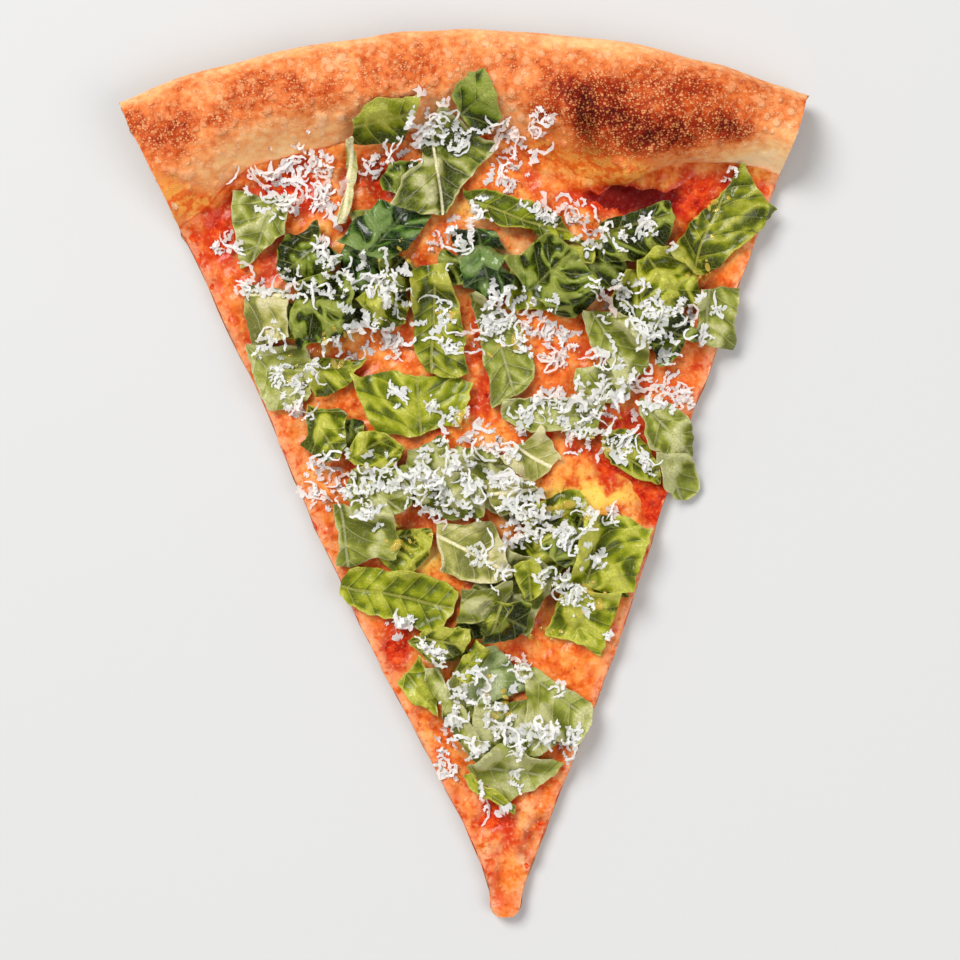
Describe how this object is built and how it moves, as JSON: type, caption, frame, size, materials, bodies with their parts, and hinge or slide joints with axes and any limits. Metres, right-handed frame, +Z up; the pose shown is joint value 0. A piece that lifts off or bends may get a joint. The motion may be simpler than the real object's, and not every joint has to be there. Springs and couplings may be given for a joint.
{
  "type": "cheese pizza slice",
  "caption": "Wide thin-crust cheese pizza slice with a puffed browned rim, tomato sauce, melted cheese, torn basil and grated hard cheese, lying flat.",
  "frame": {"origin": "on the flat underside, on the slice's middle line, 124 mm from its point", "axes": "+Z up out of the toppings, +Y along the middle of the slice from its point to its rim, +X to the right seen from above with the rim at the top"},
  "size_m": [0.1883, 0.2444, 0.0217],
  "materials": {
    "crust": "baked dough: golden brown with pale blisters and dark scorched patches",
    "sauce": "cooked tomato sauce, moist",
    "cheese": "melted cheese stained orange by sauce and oil, glossy",
    "basil": "fresh leaf, satin to glossy",
    "grated_cheese": "finely grated hard cheese, matte",
    "oil": "clear yellow olive oil"
  },
  "bodies": {
    "root": {"basil_centre_long": "basil", "basil_centre_up": "basil", "basil_centre_wide": "basil", "basil_cream_fork": "basil", "basil_cream_rib": "basil", "basil_crumple_right": "basil", "basil_dark_wet": "basil", "basil_dart": "basil", "basil_edge_dark": "basil", "basil_edge_hang": "basil", "basil_edge_sage": "basil", "basil_fold_long": "basil", "basil_left_dark": "basil", "basil_left_fold": "basil", "basil_left_low_sage": "basil", "basil_left_olive": "basil", "basil_left_sage": "basil", "basil_left_shreds": "basil", "basil_low_blue": "basil", "basil_low_bright": "basil", "basil_low_crumple": "basil", "basil_low_end": "basil", "basil_low_left_sage": "basil", "basil_low_pale": "basil", "basil_low_spear": "basil", "basil_low_stalk": "basil", "basil_low_strip": "basil", "basil_low_wet": "basil", "basil_mid_bright": "basil", "basil_mid_dark": "basil", "basil_mid_left": "basil", "basil_mid_right": "basil", "basil_mid_small": "basil", "basil_rib_back": "basil", "basil_right_big": "basil", "basil_right_lip": "basil", "basil_right_low": "basil", "basil_right_ribbed": "basil", "basil_right_sage": "basil", "basil_rim_curl": "basil", "basil_rim_dark": "basil", "basil_rim_olive": "basil", "basil_rim_top": "basil", "basil_sage_run": "basil", "basil_shade_leaf": "basil", "basil_small_mid": "basil", "basil_smooth_big": "basil", "basil_teal": "basil", "basil_tip_curl": "basil", "basil_under_shreds": "basil", "basil_under_wilted": "basil", "basil_wilted": "basil", "cheese": "cheese", "dough": "crust", "sauce": "sauce"}
  },
  "joints": []
}
